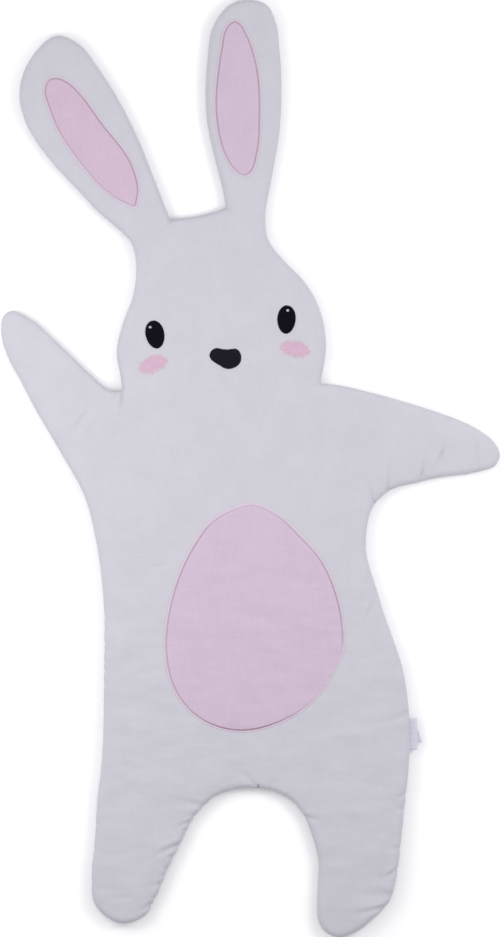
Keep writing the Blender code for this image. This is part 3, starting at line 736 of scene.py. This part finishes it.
def threadTree(name, material):
    tree = bpy.data.node_groups.new(name, "GeometryNodeTree")
    tree.interface.new_socket("Stitches", in_out="INPUT", socket_type="NodeSocketGeometry")
    sizes = {}
    for label, value in (("Thread radius", 0.0003), ("Arch", 0.0003), ("End width", 0.6)):
        socket = tree.interface.new_socket(label, in_out="INPUT", socket_type="NodeSocketFloat")
        socket.default_value = value
        sizes[label] = socket.identifier
    tree.interface.new_socket("Threads", in_out="OUTPUT", socket_type="NodeSocketGeometry")
    start = addNode(tree, "NodeGroupInput")
    curves = addNode(tree, "GeometryNodeMeshToCurve", {"Mesh": start.outputs["Stitches"]})
    cut = addNode(tree, "GeometryNodeResampleCurve", {"Curve": curves.outputs[0], "Count": 6})
    along = addNode(tree, "GeometryNodeSplineParameter").outputs["Factor"]
    rest = addNode(tree, "ShaderNodeMath", {0: 1.0, 1: along}, operation="SUBTRACT")
    hump = addNode(tree, "ShaderNodeMath", {0: along, 1: rest.outputs[0]}, operation="MULTIPLY")
    four = addNode(tree, "ShaderNodeMath", {0: hump.outputs[0], 1: 4.0}, operation="MULTIPLY")
    lift = addNode(tree, "ShaderNodeMath", {0: four.outputs[0], 1: start.outputs["Arch"]}, operation="MULTIPLY")
    up = addNode(tree, "ShaderNodeCombineXYZ", {"Z": lift.outputs[0]})
    arched = addNode(tree, "GeometryNodeSetPosition", {"Geometry": cut.outputs[0], "Offset": up.outputs[0]})
    ends = addNode(tree, "ShaderNodeMath", {0: four.outputs[0], 1: 0.3}, operation="POWER")
    taper = addNode(tree, "ShaderNodeMapRange", {"Value": ends.outputs[0], "To Min": start.outputs["End width"], "To Max": 1.0})
    width = addNode(tree, "GeometryNodeInputNamedAttribute", {"Name": "width"}, data_type="FLOAT")
    scale = addNode(tree, "ShaderNodeMath", {0: taper.outputs[0], 1: width.outputs[0]}, operation="MULTIPLY")
    ring = addNode(tree, "GeometryNodeCurvePrimitiveCircle", {
        "Resolution": 6, "Radius": start.outputs["Thread radius"],
    })
    tubes = addNode(tree, "GeometryNodeCurveToMesh", {
        "Curve": arched.outputs[0], "Profile Curve": ring.outputs[0], "Fill Caps": True, "Scale": scale.outputs[0],
    })
    real = addNode(tree, "GeometryNodeRealizeInstances", {"Geometry": tubes.outputs[0]})
    dyed = addNode(tree, "GeometryNodeSetMaterial", {"Geometry": real.outputs[0], "Material": material})
    addNode(tree, "NodeGroupOutput", {"Threads": dyed.outputs[0]})
    return tree, sizes


def makeThreads(name, stitches, widths, material, look, darkness=None):
    # stitches are pairs of points in millimetres, each with its width and its darkness
    points = np.concatenate(stitches)
    mesh = bpy.data.meshes.new(name)
    edges = [(2 * i, 2 * i + 1) for i in range(len(stitches))]
    mesh.from_pydata((points * mm).tolist(), edges, [])
    for label, values in (("width", widths), ("darkness", darkness)):
        if values is not None:
            attribute = mesh.attributes.new(label, "FLOAT", "POINT")
            attribute.data.foreach_set("value", np.repeat(np.asarray(values, dtype=np.float32), 2))
    source = newObject(name, mesh, material)
    tree, sizes = threadTree(name + "Tree", material)
    modifier = source.modifiers.new("threads", "NODES")
    modifier.node_group = tree
    modifier[sizes["Thread radius"]] = look["radius"] * mm
    modifier[sizes["Arch"]] = look["arch"] * mm
    modifier[sizes["End width"]] = look["endWidth"]
    depsgraph = bpy.context.evaluated_depsgraph_get()
    made = bpy.data.meshes.new_from_object(source.evaluated_get(depsgraph))
    source.modifiers.clear()
    bpy.data.objects.remove(source)
    made.name = name
    return newObject(name, made, material)


def withHeights(ends, lift):
    # pairs of flat points set on the mat's surface, raised by the lift
    flat = np.concatenate(ends)
    points = np.column_stack((flat, topHeight(flat) + lift))
    return points.reshape(-1, 2, 3)


def ridesOnBody(piece, node):
    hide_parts(node)
    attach(piece, "root")


edgeStitch = {"pitch": 5.0, "share": 0.98, "radius": 1.5, "arch": 0.1, "endWidth": 0.9, "lift": 0.0}


def makeEdgeStitches(name, line, darkness):
    dense = evenLoop(line.loop, 0.5)
    normals = normalsOf(dense)
    facing = np.degrees(np.arctan2(normals[:, 1], normals[:, 0])) % 360
    angles, shares = zip(*darkness)
    # painted shade: the stitches are drawn darker on the sides where the fold beside them shades them
    dark = np.interp(facing, angles, shares, period=360)
    count = round(line.length / edgeStitch["pitch"])
    reach = len(dense) / count * edgeStitch["share"]
    starts = np.linspace(0, len(dense), count, endpoint=False).astype(int)
    stops = (starts + round(reach)) % len(dense)
    stitches = withHeights(list(zip(dense[starts], dense[stops])), edgeStitch["lift"])
    return makeThreads(name, stitches, np.ones(count), mauveThread, edgeStitch, dark[starts])


for name, applique in appliques.items():
    rim = applique["rim"]
    patch = makePatch(name, rim, rosePinkCotton if name == "leftEarPatch" else pinkCotton)
    ridesOnBody(patch, applique["cloth"])
    stitching = makeEdgeStitches(name + "Stitches", applique["line"], applique["darkness"])
    ridesOnBody(stitching, applique["stitching"])


# Embroidery

def rowsAcross(outline, degrees, pitch):
    # the spans in which parallel lines cross an outline
    along, across = heading(degrees)
    u, v = outline @ along, outline @ across
    spans = []
    for level in np.arange(v.min() + pitch / 2, v.max(), pitch):
        crossed = []
        for i in range(len(u)):
            j = (i + 1) % len(u)
            if (v[i] > level) != (v[j] > level):
                part = (level - v[i]) / (v[j] - v[i])
                crossed.append(u[i] + part * (u[j] - u[i]))
        crossed.sort()
        spans += [(a, b, level) for a, b in zip(crossed[::2], crossed[1::2]) if b - a > 0.8]
    return spans, along, across


rng = random.Random(11)
filled = {
    "pitch": 0.62, "radius": 0.38, "arch": 0.22, "stitch": 6.5, "heading": 8,
    "dome": 1.3, "slope": 5.0, "lift": 0.15, "ragged": 0.15, "endWidth": 0.6,
}


def filledStitches(outline):
    # rows of short stitches, each row's needle holes set off from the last
    spans, along, across = rowsAcross(outline, filled["heading"], filled["pitch"])
    ends = []
    for index, (a, b, level) in enumerate(spans):
        offset = (index * 0.37 % 1) * filled["stitch"]
        cuts = np.arange(a - offset, b, filled["stitch"])[1:]
        first, last = (rng.uniform(-1, 1) * filled["ragged"] for _ in range(2))
        marks = [a + first, *[cut for cut in cuts if a + 1 < cut < b - 1], b + last]
        for low, high in zip(marks[:-1], marks[1:]):
            ends.append((along * low + across * level, along * high + across * level))
    return ends


for name, node, dye in (
    ("leftEye", "eye_left", blackThread), ("rightEye", "eye_right", blackThread), ("mouth", "mouth", sheenPaintedBlackThread),
):
    outline = evenLoop(outlineOf(node), 1.0)
    ends = filledStitches(outline)
    flat = np.concatenate(ends)
    dome = filled["dome"] * smoothStep(Line(outline).depth(flat) / filled["slope"] + 0.2)
    points = np.column_stack((flat, topHeight(flat) + filled["lift"] + dome)).reshape(-1, 2, 3)
    widths = [rng.uniform(0.92, 1.06) for _ in points]
    piece = makeThreads(name + "Embroidery", points, widths, dye, filled)
    ridesOnBody(piece, node)
    print(name, len(piece.data.polygons), "faces")

eyeLight = {"pitch": 0.7, "radius": 0.4, "arch": 0.25, "endWidth": 0.6, "heading": 80, "lift": 0.5}
for name, node in (("leftEyeLight", "eye_light_left"), ("rightEyeLight", "eye_light_right")):
    outline = Line(evenLoop(outlineOf(node), 0.5)).moved(-eyeLight["radius"])
    spans, along, across = rowsAcross(outline, eyeLight["heading"], eyeLight["pitch"])
    ends = [(along * a + across * level, along * b + across * level) for a, b, level in spans]
    points = withHeights(ends, filled["lift"] + filled["dome"] + eyeLight["lift"])
    piece = makeThreads(name, points, np.ones(len(points)), paleThread, eyeLight)
    ridesOnBody(piece, node)

# The blush is sewn in upright stitches of uneven length, the ones at its edge loose and
# thin, so that it fades into the cloth
blush = {
    "pitch": 0.5, "radius": 0.34, "arch": 0.05, "endWidth": 0.5, "lift": -0.03, "halo": 2.2,
    "full": (1.8, 5.2), "loose": (0.0, 3.0), "looseWidth": 0.65, "looseTone": 0.55, "overlap": 1.2,
}
for name, node, upright in (("leftBlush", "blush_left", 98), ("rightBlush", "blush_right", 86)):
    outline = Line(evenLoop(outlineOf(node), 1.0)).moved(blush["halo"])
    spans, along, across = rowsAcross(outline, upright, blush["pitch"])
    ends, widths, tones = [], [], []
    for a, b, level in spans:
        edge = min(b - a, 7.0) / 7.0
        marks = [
            a + rng.uniform(*blush["loose"]) * edge, a + rng.uniform(*blush["full"]) * edge,
            b - rng.uniform(*blush["full"]) * edge, b - rng.uniform(*blush["loose"]) * edge,
        ]
        lean = rng.uniform(-0.3, 0.3)
        over = blush["overlap"] * edge
        for low, high, width, tone in (
            (marks[0], marks[1] + over, blush["looseWidth"], blush["looseTone"]),
            (marks[1], marks[2], 1, 1),
            (marks[2] - over, marks[3], blush["looseWidth"], blush["looseTone"]),
        ):
            if high - low > 0.6:
                ends.append((along * low + across * (level - lean), along * high + across * (level + lean)))
                widths.append(rng.uniform(0.85, 1.05) * width)
                tones.append(tone)
    points = withHeights(ends, blush["lift"])
    piece = makeThreads(name, points, widths, blushThread, blush, tones)
    ridesOnBody(piece, node)

print("embroidery ready")


# Labels in the side seam

def ribbon(name, rows, thickness):
    # a strip of tape lofted through rows of points, given a thickness
    shape = bmesh.new()
    made = [[shape.verts.new(Vector(point) * mm) for point in row] for row in rows]
    for low, high in zip(made[:-1], made[1:]):
        for i in range(len(low) - 1):
            shape.faces.new((low[i], low[i + 1], high[i + 1], high[i]))
    bmesh.ops.recalc_face_normals(shape, faces=shape.faces)
    bmesh.ops.solidify(shape, geom=shape.faces[:], thickness=thickness * mm)
    bmesh.ops.recalc_face_normals(shape, faces=shape.faces)
    mesh = bpy.data.meshes.new(name)
    shape.to_mesh(mesh)
    shape.free()
    return newObject(name, mesh, labelTape)


sideLabel = {"tape": 0.25, "sewnIn": 2.4, "open": 0.7, "wave": 0.5, "lean": 0.5, "flat": (0.021, 0.04)}
careLabel = {"tape": 0.2, "sewnIn": 2.4, "shoulder": 6.6, "droop": 0.8, "flat": (0.0165, 0.027), "area": 0.00034}


def makeSideLabel():
    low, high = (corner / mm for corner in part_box("side_label"))
    root, fold = low.x - sideLabel["sewnIn"], high.x
    middle = (low.z + high.z) / 2
    rows = []
    for part in np.linspace(0, 1, 25):
        y = high.y + (low.y - high.y) * part
        wave = sideLabel["wave"] * math.sin(part * 5.2 + 0.4)
        lean = sideLabel["lean"] * math.sin(part * 2.6)
        row = []
        for x in np.linspace(root, fold - 0.8, 8):
            share = (x - root) / (fold - root)
            row.append((x + lean * share, y, middle + sideLabel["open"] * (1 - 0.4 * share) + wave * share))
        for angle in np.linspace(60, -60, 5):
            turn = math.radians(angle)
            row.append((fold - 0.55 + 0.35 * math.cos(turn) + lean, y, middle + wave + 0.3 * math.sin(turn)))
        for x in np.linspace(fold - 0.8, root, 8):
            share = (x - root) / (fold - root)
            row.append((x + lean * share, y, middle - sideLabel["open"] * (1 - 0.4 * share) + wave * share))
        rows.append(row)
    return ribbon("sideLabel", rows, sideLabel["tape"])


def makeCareLabel():
    low, high = (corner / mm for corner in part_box("care_label"))
    inner, shoulder = careLabel["sewnIn"], careLabel["shoulder"]
    rows = []
    for part in np.linspace(0, 1, 17):
        y = high.y + (low.y - high.y) * part
        reach = shoulder + (high.x - low.x - shoulder) * part
        row = []
        for share in np.linspace(0, 1, 9):
            x = low.x - inner + (reach + inner) * share
            row.append((x, y, high.z - 0.2 - careLabel["droop"] * share * share))
        rows.append(row)
    return ribbon("careLabel", rows, careLabel["tape"])


label = makeSideLabel()
ridesOnBody(label, "side_label")
label = makeCareLabel()
ridesOnBody(label, "care_label")

print("labels ready")


# Floor, light and camera

floorLook = {"half": 20000.0, "height": -0.2, "colour": "#fdfdfe"}


def makeFloor():
    half, height = floorLook["half"], floorLook["height"]
    corners = [(-half, -half, height), (half, -half, height), (half, half, height), (-half, half, height)]
    material, tree, shader = newMaterial("white paper sweep")
    shader.inputs["Base Color"].default_value = toLinear(floorLook["colour"])
    shader.inputs["Roughness"].default_value = 0.95
    shader.inputs["Specular IOR Level"].default_value = 0.1
    newObject("floor", meshFrom("floor", corners, [(0, 1, 2, 3)]), material)


# Two soft boxes, one on each side, in a bright even room that is darker beyond the feet
light = {
    "leftAt": (-0.74, 0.03, 0.73), "leftAim": (-0.27, -0.03, 0), "leftPower": 3.46,
    "rightAt": (0.95, 0.13, 1.10), "rightAim": (0, 0.60, 0), "rightPower": 6.5,
    "size": 0.6,
    "room": 0.88,
    "feetEnd": 0.08,     # how bright the room is beyond the feet, against the rest
    "fadeFrom": -0.48, "fadeTo": -0.97,
}


def addSoftBox(name, at, aim, power):
    data = bpy.data.lights.new(name, "AREA")
    data.shape = "DISK"
    data.size = light["size"]
    data.energy = power
    lamp = bpy.data.objects.new(name, data)
    lamp.location = at
    lamp.rotation_mode = "QUATERNION"
    lamp.rotation_quaternion = (Vector(aim) - Vector(at)).to_track_quat("-Z", "Y")
    bpy.context.scene.collection.objects.link(lamp)


def makeStudio():
    addSoftBox("leftSoftBox", light["leftAt"], light["leftAim"], light["leftPower"])
    addSoftBox("rightSoftBox", light["rightAt"], light["rightAim"], light["rightPower"])
    world = bpy.data.worlds.new("studio")
    world.use_nodes = True
    tree = world.node_tree
    room = tree.nodes["Background"]
    room.inputs["Color"].default_value = toLinear("#fdfdff")
    towards = addNode(tree, "ShaderNodeTexCoord").outputs["Generated"]
    axes = addNode(tree, "ShaderNodeSeparateXYZ", {"Vector": towards})
    fade = addNode(tree, "ShaderNodeMapRange", {
        "Value": axes.outputs["Y"], "From Min": light["fadeFrom"], "From Max": light["fadeTo"],
        "To Min": light["room"], "To Max": light["room"] * light["feetEnd"],
    }, interpolation_type="SMOOTHSTEP")
    tree.links.new(fade.outputs["Result"], room.inputs["Strength"])
    bpy.context.scene.world = world
    bpy.context.scene.view_settings.view_transform = "Standard"
    bpy.context.scene.view_settings.look = "None"


picture = {"height": 937, "perPixel": 1.28, "middleX": -0.64, "middleY": 0.13, "distance": 12.0}


def makeCamera():
    # straight above the mat, the picture's frame taken at the height of the seam
    data = bpy.data.cameras.new("camera")
    data.sensor_width = 36.0
    data.lens = 36.0 * picture["distance"] / (picture["height"] * picture["perPixel"] * mm)
    camera = bpy.data.objects.new("camera", data)
    height = picture["distance"] + body["seamHeight"] * mm
    camera.location = (picture["middleX"] * mm, picture["middleY"] * mm, height)
    data.clip_end = 60.0
    bpy.context.scene.collection.objects.link(camera)
    bpy.context.scene.camera = camera


makeFloor()
makeStudio()
makeCamera()
